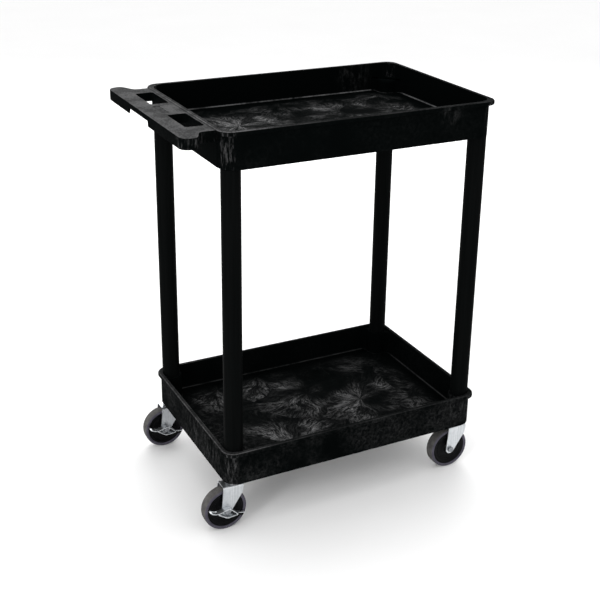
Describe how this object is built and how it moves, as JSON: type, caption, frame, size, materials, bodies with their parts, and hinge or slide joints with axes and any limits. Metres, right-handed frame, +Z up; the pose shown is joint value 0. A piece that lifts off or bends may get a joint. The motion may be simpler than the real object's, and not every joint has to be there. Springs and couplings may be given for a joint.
{
  "type": "rolling utility cart",
  "caption": "Rolling utility cart with two deep plastic tub shelves on tube legs, a moulded push handle and swivel casters with foot brakes.",
  "frame": {"origin": "on the floor under the middle of the cart's outline, handle included", "axes": "+X along the trays away from the push handle, +Y across them away from the side that the brake pedals face, +Z up"},
  "size_m": [0.76, 0.476, 0.946],
  "materials": {
    "tub_plastic": "black structural foam plastic with a faint grain and flow marks",
    "leg_plastic": "smooth black extruded tube, soft sheen",
    "socket_plastic": "plain black plastic",
    "bar_aluminium": "mill finish flat bar",
    "zinc_steel": "bright zinc-plated pressed steel",
    "race_steel": "greased steel",
    "bolt_steel": "zinc-plated fastener",
    "wheel_plastic": "black moulded wheel",
    "tread_rubber": "grey non-marking tread",
    "shoe_rubber": "black rubber"
  },
  "bodies": {
    "frame": {"upper_tub": "tub_plastic", "lower_tub": "tub_plastic", "upper_bar_front": "bar_aluminium", "upper_bar_rear": "bar_aluminium", "lower_bar_front": "bar_aluminium", "lower_bar_rear": "bar_aluminium", "leg_left_front": "leg_plastic", "stem_socket_left_front": "socket_plastic", "caster_stem_left_front": "zinc_steel", "ball_race_left_front": "race_steel", "leg_left_rear": "leg_plastic", "stem_socket_left_rear": "socket_plastic", "caster_stem_left_rear": "zinc_steel", "ball_race_left_rear": "race_steel", "leg_right_front": "leg_plastic", "stem_socket_right_front": "socket_plastic", "caster_stem_right_front": "zinc_steel", "ball_race_right_front": "race_steel", "leg_right_rear": "leg_plastic", "stem_socket_right_rear": "socket_plastic", "caster_stem_right_rear": "zinc_steel", "ball_race_right_rear": "race_steel"},
    "caster_left_front": {"fork_left_front": "zinc_steel", "axle_bolt_left_front": "bolt_steel", "axle_nut_left_front": "bolt_steel", "axle_sleeve_left_front": "bolt_steel"},
    "wheel_left_front": {"wheel_core_left_front": "wheel_plastic", "tread_left_front": "tread_rubber"},
    "brake_left_front": {"brake_pedal_left_front": "zinc_steel", "brake_shoe_left_front": "shoe_rubber"},
    "caster_left_rear": {"fork_left_rear": "zinc_steel", "axle_bolt_left_rear": "bolt_steel", "axle_nut_left_rear": "bolt_steel", "axle_sleeve_left_rear": "bolt_steel"},
    "wheel_left_rear": {"wheel_core_left_rear": "wheel_plastic", "tread_left_rear": "tread_rubber"},
    "brake_left_rear": {"brake_pedal_left_rear": "zinc_steel", "brake_shoe_left_rear": "shoe_rubber"},
    "caster_right_front": {"fork_right_front": "zinc_steel", "axle_bolt_right_front": "bolt_steel", "axle_nut_right_front": "bolt_steel", "axle_sleeve_right_front": "bolt_steel"},
    "wheel_right_front": {"wheel_core_right_front": "wheel_plastic", "tread_right_front": "tread_rubber"},
    "caster_right_rear": {"fork_right_rear": "zinc_steel", "axle_bolt_right_rear": "bolt_steel", "axle_nut_right_rear": "bolt_steel", "axle_sleeve_right_rear": "bolt_steel"},
    "wheel_right_rear": {"wheel_core_right_rear": "wheel_plastic", "tread_right_rear": "tread_rubber"}
  },
  "joints": [
    {"name": "swivel_left_front", "type": "hinge", "parent": "frame", "child": "caster_left_front", "pos_m": [-0.262, -0.2, 0.115], "axis": [0, 0, 1], "continuous": true},
    {"name": "roll_left_front", "type": "hinge", "parent": "caster_left_front", "child": "wheel_left_front", "pos_m": [-0.288, -0.2, 0.052], "axis": [0, 1, 0], "continuous": true},
    {"name": "brake_left_front", "type": "hinge", "parent": "caster_left_front", "child": "brake_left_front", "pos_m": [-0.288, -0.2, 0.052], "axis": [0, -1, 0], "range_deg": [0, 30]},
    {"name": "swivel_left_rear", "type": "hinge", "parent": "frame", "child": "caster_left_rear", "pos_m": [-0.262, 0.2, 0.115], "axis": [0, 0, 1], "continuous": true},
    {"name": "roll_left_rear", "type": "hinge", "parent": "caster_left_rear", "child": "wheel_left_rear", "pos_m": [-0.288, 0.2, 0.052], "axis": [0, 1, 0], "continuous": true},
    {"name": "brake_left_rear", "type": "hinge", "parent": "caster_left_rear", "child": "brake_left_rear", "pos_m": [-0.288, 0.2, 0.052], "axis": [0, -1, 0], "range_deg": [0, 30]},
    {"name": "swivel_right_front", "type": "hinge", "parent": "frame", "child": "caster_right_front", "pos_m": [0.348, -0.2, 0.115], "axis": [0, 0, 1], "continuous": true},
    {"name": "roll_right_front", "type": "hinge", "parent": "caster_right_front", "child": "wheel_right_front", "pos_m": [0.322, -0.2, 0.052], "axis": [0, 1, 0], "continuous": true},
    {"name": "swivel_right_rear", "type": "hinge", "parent": "frame", "child": "caster_right_rear", "pos_m": [0.348, 0.2, 0.115], "axis": [0, 0, 1], "continuous": true},
    {"name": "roll_right_rear", "type": "hinge", "parent": "caster_right_rear", "child": "wheel_right_rear", "pos_m": [0.322, 0.2, 0.052], "axis": [0, 1, 0], "continuous": true}
  ]
}
